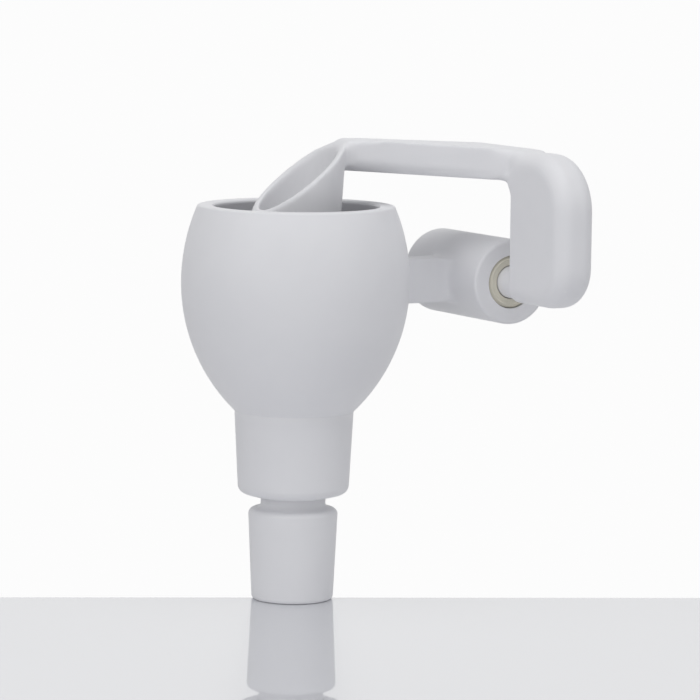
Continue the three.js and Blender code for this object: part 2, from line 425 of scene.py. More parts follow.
class Outline:
    """A run of points in a plane, drawn as on paper."""

    def __init__(self, *points: Point) -> None:
        """Starts with any points given."""
        self.points: list[Point] = list(points)

    def to(self, *points: Point) -> "Outline":
        """Goes on through more points."""
        self.points.extend(points)
        return self

    def arc(self, centre: Point, radius: float, start: float, end: float, steps: int) -> "Outline":
        """Goes on along an arc.

        Args:
            centre: The arc's centre.
            radius: Its radius.
            start: Angle of its first point in degrees.
            end: Angle of its last point in degrees.
            steps: Number of straight steps.

        Returns:
            The same outline.
        """
        for step in range(steps + 1):
            angle = math.radians(start + (end - start) * step / steps)
            self.points.append((centre[0] + radius * math.cos(angle), centre[1] + radius * math.sin(angle)))
        return self


@dataclass(frozen=True)
class Axis:
    """A lathe axis: where it is, which way it runs and which way radii are drawn."""

    centre: Vector
    along: Vector
    radial: Vector

    def point(self, radius: float, height: float) -> Vector:
        """Place of a point of an outline."""
        return self.centre + self.radial * radius + self.along * height


class Bench:
    """Mesh editing by operators, one object at a time, in millimetres."""

    @staticmethod
    def pick(*objects: bpy.types.Object) -> None:
        """Selects just these objects, the first of them active."""
        bpy.ops.object.select_all(action="DESELECT")
        for one in objects:
            one.select_set(True)
        bpy.context.view_layer.objects.active = objects[0]

    @staticmethod
    def start(name: str, place: Vector) -> bpy.types.Object:
        """Adds a small plane and merges it to one vertex, ready to be extruded.

        Args:
            name: The new object's name.
            place: Where the vertex goes.

        Returns:
            The object, in edit mode with its vertex selected.
        """
        bpy.ops.object.select_all(action="DESELECT")
        bpy.ops.mesh.primitive_plane_add(size=1.0, location=place)
        made = bpy.context.active_object
        made.name = name
        bpy.ops.object.transform_apply(location=True, rotation=True, scale=True)
        bpy.ops.object.mode_set(mode="EDIT")
        bpy.ops.mesh.select_mode(type="VERT")
        bpy.ops.mesh.select_all(action="SELECT")
        bpy.ops.mesh.merge(type="CENTER")
        return made

    @staticmethod
    def run(name: str, places: Sequence[Vector]) -> bpy.types.Object:
        """Draws a closed wire through places by extruding one vertex.

        Args:
            name: The new object's name.
            places: The wire's points, without the first one again at the end.

        Returns:
            The object, in edit mode with everything selected.
        """
        made = Bench.start(name, places[0])
        for before, after in zip(places, [*places[1:], places[0]]):
            bpy.ops.mesh.extrude_vertices_move(TRANSFORM_OT_translate={"value": after - before})
        bpy.ops.mesh.select_all(action="SELECT")
        bpy.ops.mesh.remove_doubles(threshold=0.001)
        bpy.ops.mesh.select_all(action="SELECT")
        return made

    @staticmethod
    def turn(name: str, outline: Outline, axis: Axis, steps: int) -> bpy.types.Object:
        """Spins a closed outline into a solid of revolution.

        Args:
            name: The new object's name.
            outline: Points of radius and height; points of no radius close on the axis.
            axis: The lathe axis.
            steps: Facets round the axis.

        Returns:
            The finished solid.
        """
        made = Bench.run(name, [axis.point(*point) for point in outline.points])
        bpy.ops.mesh.spin(steps=steps, angle=2 * math.pi, center=axis.centre, axis=axis.along)
        return Bench.close(made)

    @staticmethod
    def prism(name: str, places: Sequence[Vector], drop: Vector) -> bpy.types.Object:
        """Extrudes a closed outline along a straight line.

        Args:
            name: The new object's name.
            places: The outline's points.
            drop: How far and which way it is extruded.

        Returns:
            The finished solid.
        """
        made = Bench.run(name, places)
        bpy.ops.mesh.edge_face_add()
        bpy.ops.mesh.extrude_region_move(TRANSFORM_OT_translate={"value": drop})
        return Bench.close(made)

    @staticmethod
    def close(piece: bpy.types.Object) -> bpy.types.Object:
        """Merges doubles, turns the faces outwards and leaves edit mode."""
        bpy.ops.mesh.select_all(action="SELECT")
        bpy.ops.mesh.remove_doubles(threshold=0.002)
        bpy.ops.mesh.select_all(action="SELECT")
        bpy.ops.mesh.normals_make_consistent(inside=False)
        bpy.ops.object.mode_set(mode="OBJECT")
        return piece

    @staticmethod
    def round_edges(piece: bpy.types.Object, wanted: Callable[[Vector, Vector], bool], radius: float,
                    segments: int) -> None:
        """Bevels the edges that a test picks out.

        Args:
            piece: The object.
            wanted: Says whether the edge between two points is bevelled.
            radius: The bevel's offset.
            segments: Its number of steps.
        """
        Bench.pick(piece)
        bpy.ops.object.mode_set(mode="EDIT")
        bpy.ops.mesh.select_mode(type="EDGE")
        bpy.ops.mesh.select_all(action="DESELECT")
        bpy.ops.object.mode_set(mode="OBJECT")
        vertices = piece.data.vertices
        for edge in piece.data.edges:
            edge.select = wanted(*(vertices[index].co for index in edge.vertices))
        bpy.ops.object.mode_set(mode="EDIT")
        bpy.ops.mesh.bevel(offset=radius, segments=segments, affect="EDGES", clamp_overlap=False)
        Bench.close(piece)

    @staticmethod
    def cut(piece: bpy.types.Object, place: Vector, normal: Vector, keep: Keep) -> None:
        """Cuts a closed piece by a plane and closes the cut.

        Args:
            piece: The object.
            place: A point of the plane.
            normal: The plane's normal.
            keep: The side of the plane that stays, seen along its normal.
        """
        Bench.pick(piece)
        bpy.ops.object.mode_set(mode="EDIT")
        bpy.ops.mesh.select_all(action="SELECT")
        bpy.ops.mesh.bisect(plane_co=place, plane_no=normal, use_fill=True,
                            clear_inner=keep is Keep.ABOVE, clear_outer=keep is Keep.BELOW)
        Bench.close(piece)

    @staticmethod
    def ease(piece: bpy.types.Object, weight: Callable[[Vector], float], repeat: int) -> None:
        """Smooths a skin by a weight that fades out round the place that needs it.

        Args:
            piece: The object.
            weight: Gives the share of smoothing at a point, from 0 to 1.
            repeat: Rounds of smoothing.
        """
        group = piece.vertex_groups.new(name="ease")
        for vertex in piece.data.vertices:
            share = weight(vertex.co)
            if share > 0.0:
                group.add([vertex.index], min(share, 1.0), "REPLACE")
        Bench.apply(piece, "SMOOTH", factor=0.5, iterations=repeat, vertex_group="ease")
        piece.vertex_groups.clear()

    @staticmethod
    def apply(piece: bpy.types.Object, kind: str, **settings: object) -> None:
        """Adds a modifier and applies it at once."""
        Bench.pick(piece)
        modifier = piece.modifiers.new(kind.lower(), kind)
        for key, setting in settings.items():
            setattr(modifier, key, setting)
        bpy.ops.object.modifier_apply(modifier=modifier.name)

    @staticmethod
    def combine(piece: bpy.types.Object, tool: bpy.types.Object, operation: str) -> None:
        """Cuts or joins a piece with a tool, and removes the tool."""
        Bench.apply(piece, "BOOLEAN", object=tool, operation=operation, solver="EXACT")
        bpy.data.objects.remove(tool)

    @staticmethod
    def join(*pieces: bpy.types.Object) -> bpy.types.Object:
        """Joins objects into the first of them."""
        Bench.pick(*pieces)
        bpy.ops.object.join()
        return pieces[0]

    @staticmethod
    def fuse(piece: bpy.types.Object, voxel: float, soften: int) -> None:
        """Melts overlapping solids into one skin with softened edges.

        Args:
            piece: The object that holds the overlapping solids.
            voxel: Grain of the new skin.
            soften: Rounds of smoothing.
        """
        Bench.apply(piece, "REMESH", mode="VOXEL", voxel_size=voxel, adaptivity=0.0)
        Bench.apply(piece, "SMOOTH", factor=0.5, iterations=soften)

    @staticmethod
    def copy(piece: bpy.types.Object, name: str) -> bpy.types.Object:
        """Copies an object with a mesh of its own."""
        twin = piece.copy()
        twin.data = piece.data.copy()
        twin.name = name
        bpy.context.scene.collection.objects.link(twin)
        return twin


@dataclass(frozen=True)
class Fitting:
    """What a finished piece is part of: body, frame nodes and material, with a slot that is held but not
    given to the piece.
    """

    body: Body
    slot: Slot
    material: bpy.types.Material

    def fit(self, piece: bpy.types.Object, *nodes: str, crease: float = 40.0) -> bpy.types.Object:
        """Args:
            piece: The finished piece in millimetres.
            *nodes: Frame nodes that it stands for.
            crease: Angle in degrees past which an edge stays sharp.

        Returns:
            The same piece.
        """
        Bench.pick(piece)
        piece.scale = (TO_METRES,) * 3
        bpy.ops.object.transform_apply(location=True, rotation=True, scale=True)
        bpy.ops.object.shade_smooth_by_angle(angle=math.radians(crease))
        piece.data.materials.clear()
        piece.data.materials.append(self.material)
        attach(piece, self.body.value)
        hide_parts(*nodes)
        LOG.info("%s: %d faces, stands for %s", piece.name, len(piece.data.polygons), ", ".join(nodes))
        return piece


# ---------------------------------------------------------------- the cup side


@dataclass
class CupBody:
    """Bowl, collar and taper joint, all turned about the cup's axis."""

    plastic: Fitting
    rubber: Fitting
    axis: Axis = Axis(Vector((0, 0, 0)), Vector((0, 0, 1)), Vector((1, 0, 0)))
    facets: int = 192
    drain_radius: float = 7.5
    bowl_radius: float = 37.2
    bowl_middle: float = 104.1
    lower_arc: float = 58.6
    upper_arc: float = 63.2
    wall: float = 5.0
    rim_height: float = 129.2
    rim_round: float = 0.9
    floor_edge: float = 74.0
    pocket_radius: float = 12.6
    pocket_bottom: float = 65.0
    seat_top: float = 68.0
    seat_radius: float = 12.3
    seat_bore: float = 8.0
    collar_top: float = 62.1
    collar_bottom: float = 33.8
    collar_foot_radius: float = 18.2
    collar_top_radius: float = 19.45
    collar_round: float = 3.0
    spigot_radius: float = 12.0
    spigot_bottom: float = 56.0
    neck_radius: float = 10.6
    neck_fillet: float = 1.8
    neck_top: float = 51.0
    socket_top: float = 54.0
    cone_bottom_radius: float = 13.4
    cone_top_radius: float = 14.6
    cone_foot_round: float = 1.4
    cone_shoulder: float = 30.0
    cone_shoulder_round: float = 1.9
    gap: float = 0.3

    def side(self, outline: Outline, inset: float, low: float, high: float, steps: int) -> Outline:
        """Draws a stretch of the bowl's side between two heights on one side of its middle.

        Args:
            outline: The outline to go on with.
            inset: Distance inside the outer skin.
            low: Height of the first point.
            high: Height of the last point.
            steps: Number of steps.

        Returns:
            The same outline.
        """
        radius = (self.lower_arc if min(low, high) < self.bowl_middle else self.upper_arc) - inset
        centre = (self.bowl_radius - inset - radius, self.bowl_middle)
        angles = [math.degrees(math.asin((height - self.bowl_middle) / radius)) for height in (low, high)]
        return outline.arc(centre, radius, angles[0], angles[1], steps)

    def rim_corner(self, inset: float, inward: bool) -> tuple[Point, float]:
        """Centre of a rim rounding and the side's angle where it meets it.

        Args:
            inset: Distance of the side from the outer skin.
            inward: True for the inner edge of the rim.

        Returns:
            The centre, and the angle in degrees of the side's normal there.
        """
        radius = self.upper_arc - inset + (self.rim_round if inward else -self.rim_round)
        height = self.rim_height - self.rim_round - self.bowl_middle
        reach = math.sqrt(radius ** 2 - height ** 2)
        centre = (self.bowl_radius - self.upper_arc + reach, self.rim_height - self.rim_round)
        return centre, math.degrees(math.atan2(height, reach))

    def bowl(self) -> bpy.types.Object:
        """Models the egg-shaped bowl with its rounded rim, sloping floor and screwed spigot."""
        outline = Outline((self.drain_radius, self.spigot_bottom), (self.spigot_radius, self.spigot_bottom),
                          (self.spigot_radius, self.collar_top))
        self.side(outline, 0.0, self.collar_top, self.bowl_middle - 0.001, 34)
        outer, outer_angle = self.rim_corner(0.0, False)
        inner, inner_angle = self.rim_corner(self.wall, True)
        top = self.bowl_middle + (self.upper_arc * math.sin(math.radians(outer_angle)))
        self.side(outline, 0.0, self.bowl_middle + 0.3, top - 0.2, 18)
        outline.arc(outer, self.rim_round, outer_angle, 90.0, 6)
        outline.arc(inner, self.rim_round, 90.0, 180.0 + inner_angle, 6)
        inner_top = self.bowl_middle + (self.upper_arc - self.wall) * math.sin(math.radians(inner_angle))
        self.side(outline, self.wall, inner_top - 0.2, self.bowl_middle + 0.3, 16)
        self.side(outline, self.wall, self.bowl_middle - 0.001, self.floor_edge + 2.0, 20)
        outline.to((self.pocket_radius + 4.5, self.floor_edge - 1.6),
                   (self.pocket_radius + 0.4, self.seat_top + 0.2),
                   (self.pocket_radius, self.seat_top - 0.3), (self.pocket_radius, self.pocket_bottom),
                   (self.drain_radius, self.pocket_bottom))
        return self.plastic.fit(Bench.turn("bowl_shell", outline, self.axis, self.facets), "funnel_bowl")

    def collar(self) -> bpy.types.Object:
        """Models the collar between the bowl and the joint, with its rounded foot."""
        recess_radius = self.spigot_radius + self.gap
        recess_bottom = self.spigot_bottom - self.gap
        outline = Outline((self.neck_radius + self.gap, self.collar_bottom),
                          (self.neck_radius + 1.2, self.collar_bottom))
        outline.arc((self.collar_foot_radius - self.collar_round,
                     self.collar_bottom + 1.0 + self.collar_round),
                    self.collar_round, -76.0, 0.0, 10)
        for step in range(1, 9):
            share = step / 8
            outline.to((self.collar_foot_radius + (self.collar_top_radius - self.collar_foot_radius) * share,
                        self.collar_bottom + 4.0 + (self.collar_top - self.collar_bottom - 4.0) * share))
        outline.to((recess_radius, self.collar_top), (recess_radius, recess_bottom),
                   (self.drain_radius, recess_bottom), (self.drain_radius, self.socket_top),
                   (self.neck_radius + self.gap, self.socket_top))
        return self.plastic.fit(Bench.turn("collar_ring", outline, self.axis, self.facets), "outlet_collar")

    def joint(self) -> bpy.types.Object:
        """Models the male taper joint with its rounded foot, shoulder and waisted neck."""
        outline = Outline((self.drain_radius + 0.4, 0.0))
        outline.arc((self.cone_bottom_radius - self.cone_foot_round, self.cone_foot_round),
                    self.cone_foot_round, -90.0, 0.0, 8)
        for step in range(1, 8):
            share = step / 8
            outline.to((self.cone_bottom_radius + (self.cone_top_radius - self.cone_bottom_radius) * share,
                        self.cone_foot_round
                        + (self.cone_shoulder - self.cone_shoulder_round - self.cone_foot_round) * share))
        outline.arc((self.cone_top_radius - self.cone_shoulder_round,
                     self.cone_shoulder - self.cone_shoulder_round),
                    self.cone_shoulder_round, 0.0, 78.0, 8)
        outline.arc((self.neck_radius + self.neck_fillet, self.cone_shoulder + self.neck_fillet),
                    self.neck_fillet, 265.0, 180.0, 8)
        outline.to((self.neck_radius, self.neck_top - 0.4), (self.neck_radius - 0.4, self.neck_top),
                   (self.drain_radius, self.neck_top), (self.drain_radius, 0.4))
        return self.plastic.fit(Bench.turn("taper_joint", outline, self.axis, self.facets), "joint_cone")

    def seat(self) -> bpy.types.Object:
        """Models the seat ring that the spout's nose comes down on."""
        low, soft = self.pocket_bottom + self.gap, 0.35
        outline = Outline((self.seat_bore, low), (self.seat_radius, low),
                          (self.seat_radius, self.seat_top - soft))
        outline.arc((self.seat_radius - soft, self.seat_top - soft), soft, 20.0, 90.0, 3)
        outline.arc((self.seat_bore + soft, self.seat_top - soft), soft, 90.0, 160.0, 3)
        outline.to((self.seat_bore, self.seat_top - soft))
        return self.rubber.fit(Bench.turn("seat_ring", outline, self.axis, 96), "outlet_seat")

    def dress_seal(self) -> None:
        """Gives the buried joint seal its rubber."""
        seal = frame["nodes"]["joint_seal"]
        seal.data.materials.clear()
        seal.data.materials.append(self.rubber.material)
        LOG.info("joint_seal: dressed")


@dataclass
class PivotBracket:
    """Hinge barrel on its boss, with a plastic bush in each end."""

    plastic: Fitting
    bushing: Fitting
    pivot: Vector
    barrel_radius: float = 14.0
    front: float = -22.7
    rear: float = 24.3
    end_round: float = 0.8
    boss_low: float = 95.9
    boss_high: float = 110.7
    boss_depth: float = 9.0
    boss_flare: float = 6.0
    boss_root: float = 33.6
    bush_radius: float = 8.5
    bush_length: float = 12.0
    bush_chamfer: float = 0.9
    play: float = 0.25
    front_shaft: float = 5.3
    rear_shaft: float = 4.3
    middle_bore: float = 7.0

    @property
    def axis(self) -> Axis:
        """The hinge axis, with heights counted along Y."""
        return Axis(self.pivot, Vector((0, 1, 0)), Vector((1, 0, 0)))

    def boss(self) -> bpy.types.Object:
        """Models the boss, flared in plan where it runs into the barrel."""
        half, flare = self.boss_depth / 2, self.boss_flare
        wall = self.pivot.x - self.barrel_radius + 2.0
        plan = Outline((self.boss_root, -half))
        plan.arc((wall - flare, -half - flare), flare, 90.0, 0.0, 8)
        plan.to((self.pivot.x, -half - flare), (self.pivot.x, half + flare))
        plan.arc((wall - flare, half + flare), flare, 0.0, -90.0, 8)
        plan.to((self.boss_root, half))
        places = [Vector((x, y, self.boss_high)) for x, y in plan.points]
        return Bench.prism("boss", places, Vector((0, 0, self.boss_low - self.boss_high)))

    def barrel(self) -> bpy.types.Object:
        """Models the solid barrel with rounded ends."""
        radius, soft = self.barrel_radius, self.end_round
        outline = Outline((0.0, self.front))
        outline.arc((radius - soft, self.front + soft), soft, -90.0, 0.0, 8)
        outline.arc((radius - soft, self.rear - soft), soft, 0.0, 90.0, 8)
        outline.to((0.0, self.rear))
        return Bench.turn("bracket_barrel", outline, self.axis, 128)

    def bracket(self) -> bpy.types.Object:
        """Fuses boss and barrel, softens the hollow between them and bores the barrel."""
        bracket = Bench.join(self.barrel(), self.boss())
        Bench.fuse(bracket, 0.4, 5)
        wall = self.pivot.x - self.barrel_radius

        def hollow(co: Vector) -> float:
            """Weight round the hollows where the boss runs into the barrel."""
            along = fade(abs(co.x - wall - 2.5), 2.5, 5.0) * fade(abs(co.y), 12.0, 16.0)
            return along * fade(abs(co.z - (self.boss_low + self.boss_high) / 2), 9.5, 12.0)

        Bench.ease(bracket, hollow, 80)
        pocket = self.bush_radius + self.play
        depth = self.bush_length + 0.3
        bore = Outline((0.0, self.front - 1.0), (pocket, self.front - 1.0), (pocket, self.front + depth),
                       (self.middle_bore, self.front + depth), (self.middle_bore, self.rear - depth),
                       (pocket, self.rear - depth), (pocket, self.rear + 1.0), (0.0, self.rear + 1.0))
        Bench.combine(bracket, Bench.turn("bore", bore, self.axis, 128), "DIFFERENCE")
        return self.plastic.fit(bracket, "pivot_bracket")

    def bush(self, name: str, node: str, outer: float, inwards: float, shaft: float) -> bpy.types.Object:
        """Models one bush: a ring with a chamfered outer edge, a shallow face groove and a broken bore edge.

        Args:
            name: The piece's name.
            node: The frame node that it stands for.
            outer: Height of its outer face along the hinge axis.
            inwards: 1 if the ring lies on the +Y side of that face, -1 if on the other.
            shaft: Radius of the shaft that it carries.

        Returns:
            The finished bush.
        """
        bore, radius, chamfer = shaft + self.play, self.bush_radius, self.bush_chamfer

        def at(depth: float) -> float:
            """Height of a level a depth inside the outer face."""
            return outer + inwards * depth

        outline = Outline((bore, at(self.bush_length)), (radius, at(self.bush_length)), (radius, at(chamfer)),
                          (radius - chamfer, at(0.0)), (radius - chamfer - 0.25, at(0.0)),
                          (radius - chamfer - 0.35, at(0.08)), (bore + 0.30, at(0.08)),
                          (bore + 0.08, at(0.16)), (bore, at(0.35)))
        return self.bushing.fit(Bench.turn(name, outline, self.axis, 128), node, crease=20.0)

    def bushes(self) -> None:
        """Models the front and the rear bush."""
        self.bush("bush_front", "front_bush", self.front, 1.0, self.front_shaft)
        self.bush("bush_rear", "rear_bush", self.rear, -1.0, self.rear_shaft)


# ---------------------------------------------------------------- the arm side


@dataclass
class SwingArm:
    """Upright slab, wedge-shaped plate, shaft and pouring spout, moulded together."""

    plastic: Fitting
    pivot: Vector
    slab_x: float = 60.8
    slab_thick: float = 14.3
    slab_back: float = -33.1
    slab_front: float = -64.4
    slab_bottom: float = 97.9
    slab_edge: float = 5.5
    corner_top: float = 18.5
    top_drop: float = 0.5
    corner_bottom: float = 13.5
    plate_thick: float = 10.5
    plate_top: float = 148.3
    plate_rise: float = 0.056
    plate_edge: float = 1.8
    plate_back_edge: float = 0.7
    plate_under_edge: float = 4.2
    rear_at_slab: float = 9.4
    rear_at_spout: float = 3.0
    inner_fillet: float = 6.0
    spout_radius: float = 15.45
    spout_level: float = 140.5
    spout_taper: float = 0.06
    spout_wall: float = 2.8
    spout_shoulder: float = 75.0
    nose_radius: float = 9.6
    nose_bottom: float = 68.3
    spout_high: float = 158.0
    mouth_centre: float = 138.0
    web_fillet: float = 3.5
    mouth_slope: float = 0.79
    mouth_turn: float = -5.8
    split_x: float = 15.7
    shaft_radius: float = 5.3
    root_fillet: float = 3.2
    tail_radius: float = 4.3
    shaft_step: float = 12.0
    shaft_end: float = 24.0
    screw_hole: float = 2.7
    screw_depth: float = 15.0
    cup_axis: Axis = Axis(Vector((0, 0, 0)), Vector((0, 0, 1)), Vector((1, 0, 0)))

    @property
    def mouth_normal(self) -> Vector:
        """Normal of the mouth's oblique plane, pointing up and out of the spout."""
        tilt = math.atan(self.mouth_slope)
        normal = Vector((-math.sin(tilt), 0, math.cos(tilt)))
        return Matrix.Rotation(math.radians(self.mouth_turn), 3, "Z") @ normal

    def top_at(self, x: float) -> float:
        """Height of the plate's top at a distance from the cup's axis."""
        return self.plate_top + self.plate_rise * (self.slab_x - x)

    def radius_at(self, z: float) -> float:
        """Outer radius of the spout at a height."""
        return self.spout_radius + self.spout_taper * (z - self.spout_level)

    def slab(self, name: str, back: float) -> bpy.types.Object:
        """Models the slab from a block: big front corners, rounded edges and a crisp back.

        Args:
            name: The object's name.
            back: Where its back face lies along Y.

        Returns:
            The finished solid.
        """
        x0, x1 = self.slab_x, self.slab_x + self.slab_thick
        y0, y1 = self.slab_front, back + self.slab_edge + 1.0
        z0, z1 = self.slab_bottom, self.top_at(self.slab_x + self.slab_thick / 2) - self.top_drop
        bpy.ops.object.select_all(action="DESELECT")
        bpy.ops.mesh.primitive_cube_add(size=1.0, location=((x0 + x1) / 2, (y0 + y1) / 2, (z0 + z1) / 2),
                                        scale=(x1 - x0, y1 - y0, z1 - z0))
        slab = bpy.context.active_object
        slab.name = name
        bpy.ops.object.transform_apply(location=True, rotation=True, scale=True)
        near = 0.01

        def corner(height: float) -> Callable[[Vector, Vector], bool]:
            """Test for the front edge along X at a height."""
            return lambda a, b: all(abs(p.y - y0) < near and abs(p.z - height) < near for p in (a, b))

        Bench.round_edges(slab, corner(z1), self.corner_top, 14)
        Bench.round_edges(slab, corner(z0), self.corner_bottom, 14)

        def outer_edge(a: Vector, b: Vector) -> bool:
            """Test for the edges round the two broad faces."""
            return any(all(abs(p.x - x) < near for p in (a, b)) for x in (x0, x1))

        Bench.round_edges(slab, outer_edge, self.slab_edge, 8)
        Bench.cut(slab, Vector((0, back, 0)), Vector((0, 1, 0)), Keep.BELOW)
        return slab

    def plate(self) -> bpy.types.Object:
        """Models the wedge-shaped plate on its slope, with rounded edges."""
        end = self.slab_x + self.slab_thick
        inside = self.slab_x + 1.0
        plan = [(inside, self.slab_back - 0.5), (self.slab_x + self.slab_edge + 1.5, self.slab_back - 2),
                (end - self.slab_edge, self.slab_back - 2), (end, self.slab_back - 0.5),
                (end, self.rear_at_slab), (self.spout_radius * 0.9, self.rear_at_spout), (0.0, 0.0),
                (self.spout_radius * 0.88, -self.spout_radius * 0.46), (inside, self.slab_back + 2)]
        places = [Vector((x, y, self.top_at(x))) for x, y in plan]
        plate = Bench.prism("plate", places, Vector((0, 0, -self.plate_thick)))

        def level(drop: float, front: bool) -> Callable[[Vector, Vector], bool]:
            """Test for the edges round the top or the underside: the long front one, or all others."""

            def test(a: Vector, b: Vector) -> bool:
                """Both ends lie at the level, on the side asked for."""
                at_level = all(abs(p.z - self.top_at(p.x) + drop) < 0.05 for p in (a, b))
                return at_level and front == (a.y + b.y < self.slab_back and abs(a.x - b.x) > 30.0)

            return test

        Bench.round_edges(plate, level(0.0, False), self.plate_back_edge, 3)
        Bench.round_edges(plate, level(self.plate_thick, True), self.plate_under_edge, 8)
        Bench.round_edges(plate, level(0.0, True), self.plate_edge, 4)
        return plate

    def inner_corner(self) -> bpy.types.Object:
        """Models the concave strip between the slab's back and the plate's underside."""
        y, r = self.slab_back, self.inner_fillet
        x, z = self.slab_x, self.top_at(self.slab_x) - self.plate_thick
        section = Outline((y - 2, z + 2), (y - 2, z - r), (y, z - r))
        section.arc((y + r, z - r), r, 180.0, 90.0, 8)
        section.to((y + r, z + 2))
        places = [Vector((x, along, up)) for along, up in section.points]
        drop = Vector((self.slab_thick, 0, -self.plate_rise * self.slab_thick))
        return Bench.prism("inner_corner", places, drop)

    def web(self) -> bpy.types.Object:
        """Models the upright fillet between the plate's front and the spout's outside."""
        soft = self.web_fillet
        start = Vector((self.spout_radius * 0.88, -self.spout_radius * 0.46))
        along = (Vector((self.slab_x + 1.0, self.slab_back + 2)) - start).normalized()
        out = Vector((along.y, -along.x))
        base = start + out * soft
        lean = base.dot(along)
        run = -lean + math.sqrt(lean ** 2 - base.length_squared + (self.spout_radius + 0.1 + soft) ** 2)
        centre = base + along * run
        first = math.degrees(math.atan2(-centre.y, -centre.x))
        last = math.degrees(math.atan2(-out.y, -out.x))
        plan = Outline(tuple(start * 0.9), (start.x * 0.84, start.y * 1.16))
        plan.arc(tuple(centre), soft, first, last, 8).to(tuple(start + along * (run + 1.0) - out * 2.0))
        places = [Vector((x, y, self.top_at(x) - 0.4)) for x, y in plan.points]
        return Bench.prism("web", places, Vector((0, 0, 2.0 - self.plate_thick)))

    def skin(self, offset: float, name: str) -> bpy.types.Object:
        """Models everything inside the spout's outer skin, grown by an offset."""
        outline = Outline((0.0, self.nose_bottom - offset),
                          (self.nose_radius + offset, self.nose_bottom - offset),
                          (self.radius_at(self.spout_shoulder) + offset, self.spout_shoulder),
                          (self.radius_at(self.spout_high) + offset, self.spout_high), (0.0, self.spout_high))
        return Bench.turn(name, outline, self.cup_axis, 128)

    def tube(self) -> bpy.types.Object:
        """Models the spout as a tapered tube with a drawn-in nose, cut obliquely at its mouth."""
        drain = self.nose_radius - 2.0
        wall = self.spout_wall
        outline = Outline((drain + 0.3, self.nose_bottom), (self.nose_radius - 0.5, self.nose_bottom),
                          (self.nose_radius, self.nose_bottom + 0.5),
                          (self.radius_at(self.spout_shoulder), self.spout_shoulder),
                          (self.radius_at(self.spout_high), self.spout_high),
                          (self.radius_at(self.spout_high) - wall, self.spout_high),
                          (self.radius_at(self.spout_shoulder) - wall, self.spout_shoulder),
                          (drain, self.spout_shoulder - 3.0), (drain, self.nose_bottom + 0.3))
        tube = Bench.turn("spout_tube", outline, self.cup_axis, 128)
        Bench.cut(tube, Vector((0, 0, self.mouth_centre)), self.mouth_normal, Keep.BELOW)
        return tube

    def shaft(self) -> bpy.types.Object:
        """Models the stub shaft with its step and tapped tail, from inside the slab."""
        axis = Axis(self.pivot, Vector((0, 1, 0)), Vector((1, 0, 0)))
        outline = Outline((0.0, self.slab_back - 4.0), (self.shaft_radius, self.slab_back - 4.0),
                          (self.shaft_radius, self.shaft_step), (self.tail_radius, self.shaft_step),
                          (self.tail_radius, self.shaft_end), (self.screw_hole, self.shaft_end),
                          (self.screw_hole, self.shaft_end - self.screw_depth),
                          (0.0, self.shaft_end - self.screw_depth))
        return Bench.turn("shaft", outline, axis, 96)

    def shaft_root(self) -> bpy.types.Object:
        """Models the fillet between the slab's back and the shaft, kept inside the slab's outline."""
        axis = Axis(self.pivot, Vector((0, 1, 0)), Vector((1, 0, 0)))
        back, soft = self.slab_back, self.root_fillet
        wide = self.shaft_radius + soft
        outline = Outline((0.0, back - 2.0), (wide, back - 2.0))
        outline.arc((wide, back + soft), soft, 270.0, 180.0, 8)
        root = Bench.turn("root", outline.to((0.0, back + soft)), axis, 96)
        Bench.combine(root, self.slab("outline_block", back + soft + 1.0), "INTERSECT")
        return root

    def build(self) -> None:
        """Fuses slab, plate, shaft and spout, softens their corners, and parts the spout from the arm."""
        plate = self.plate()
        Bench.combine(plate, self.web(), "UNION")
        Bench.combine(plate, self.skin(-self.spout_wall, "bore"), "DIFFERENCE")
        mouth = Vector((0, 0, self.mouth_centre))
        above = self.skin(5.0, "above_mouth")
        Bench.cut(above, mouth, self.mouth_normal, Keep.ABOVE)
        Bench.combine(plate, above, "DIFFERENCE")
        slab = self.slab("slab", self.slab_back)
        casting = Bench.join(slab, plate, self.inner_corner(), self.tube(), self.shaft(), self.shaft_root())
        casting.name = "arm_casting"
        Bench.fuse(casting, 0.45, 4)

        def lip(co: Vector) -> float:
            """Weight round the mouth's edges."""
            return (fade(abs((co - mouth).dot(self.mouth_normal)), 2.5, 6.0)
                    * fade(math.hypot(co.x, co.y), self.spout_radius + 3.5, self.spout_radius + 8.0))

        Bench.ease(casting, lip, 40)
        knuckle = Vector((self.spout_radius + 2.0, 0, self.top_at(self.spout_radius + 2.0)))

        def crest(co: Vector) -> float:
            """Weight round the crest between the mouth and the plate's top."""
            return fade(math.hypot(co.x - knuckle.x, co.z - knuckle.z), 3.0, 8.0)

        Bench.ease(casting, crest, 60)
        corner = Vector((self.spout_radius * 0.9, -self.spout_radius * 0.46, 0))

        def foot(co: Vector) -> float:
            """Weight round the corner between the plate's front and the spout."""
            under = self.top_at(co.x) - self.plate_thick
            away = (Vector((co.x, co.y, 0)) - corner).length
            return fade(away, 2.5, 6.0) * fade(under + 3.5 - co.z, 0.0, 2.5)

        Bench.ease(casting, foot, 60)

        def merge(co: Vector) -> float:
            """Weight where the plate's front runs into the slab's side."""
            heel = Vector((self.slab_x + 1.0, self.slab_back - 1.0, 0))
            under = self.top_at(co.x) - self.plate_thick
            away = (Vector((co.x, co.y, 0)) - heel).length
            return fade(away, 3.5, 9.0) * fade(under + 1.0 - co.z, 0.0, 3.0)

        Bench.ease(casting, merge, 110)

        def entry(co: Vector) -> float:
            """Weight along the top where the plate runs into the slab."""
            return (fade(abs(co.y - self.slab_back + 2.0), 4.0, 9.0)
                    * fade(self.slab_x - 3.0 - co.x, 0.0, 5.0)
                    * fade(self.top_at(co.x) - co.z, 4.0, 8.0))

        Bench.ease(casting, entry, 80)
        spout = Bench.copy(casting, "spout_tube")
        split, across = Vector((self.split_x, 0, 0)), Vector((1, 0, 0))
        Bench.cut(casting, split, across, Keep.ABOVE)
        Bench.cut(spout, split, across, Keep.BELOW)
        self.plastic.fit(casting, "swing_arm")
        self.plastic.fit(spout, "pouring_spout")


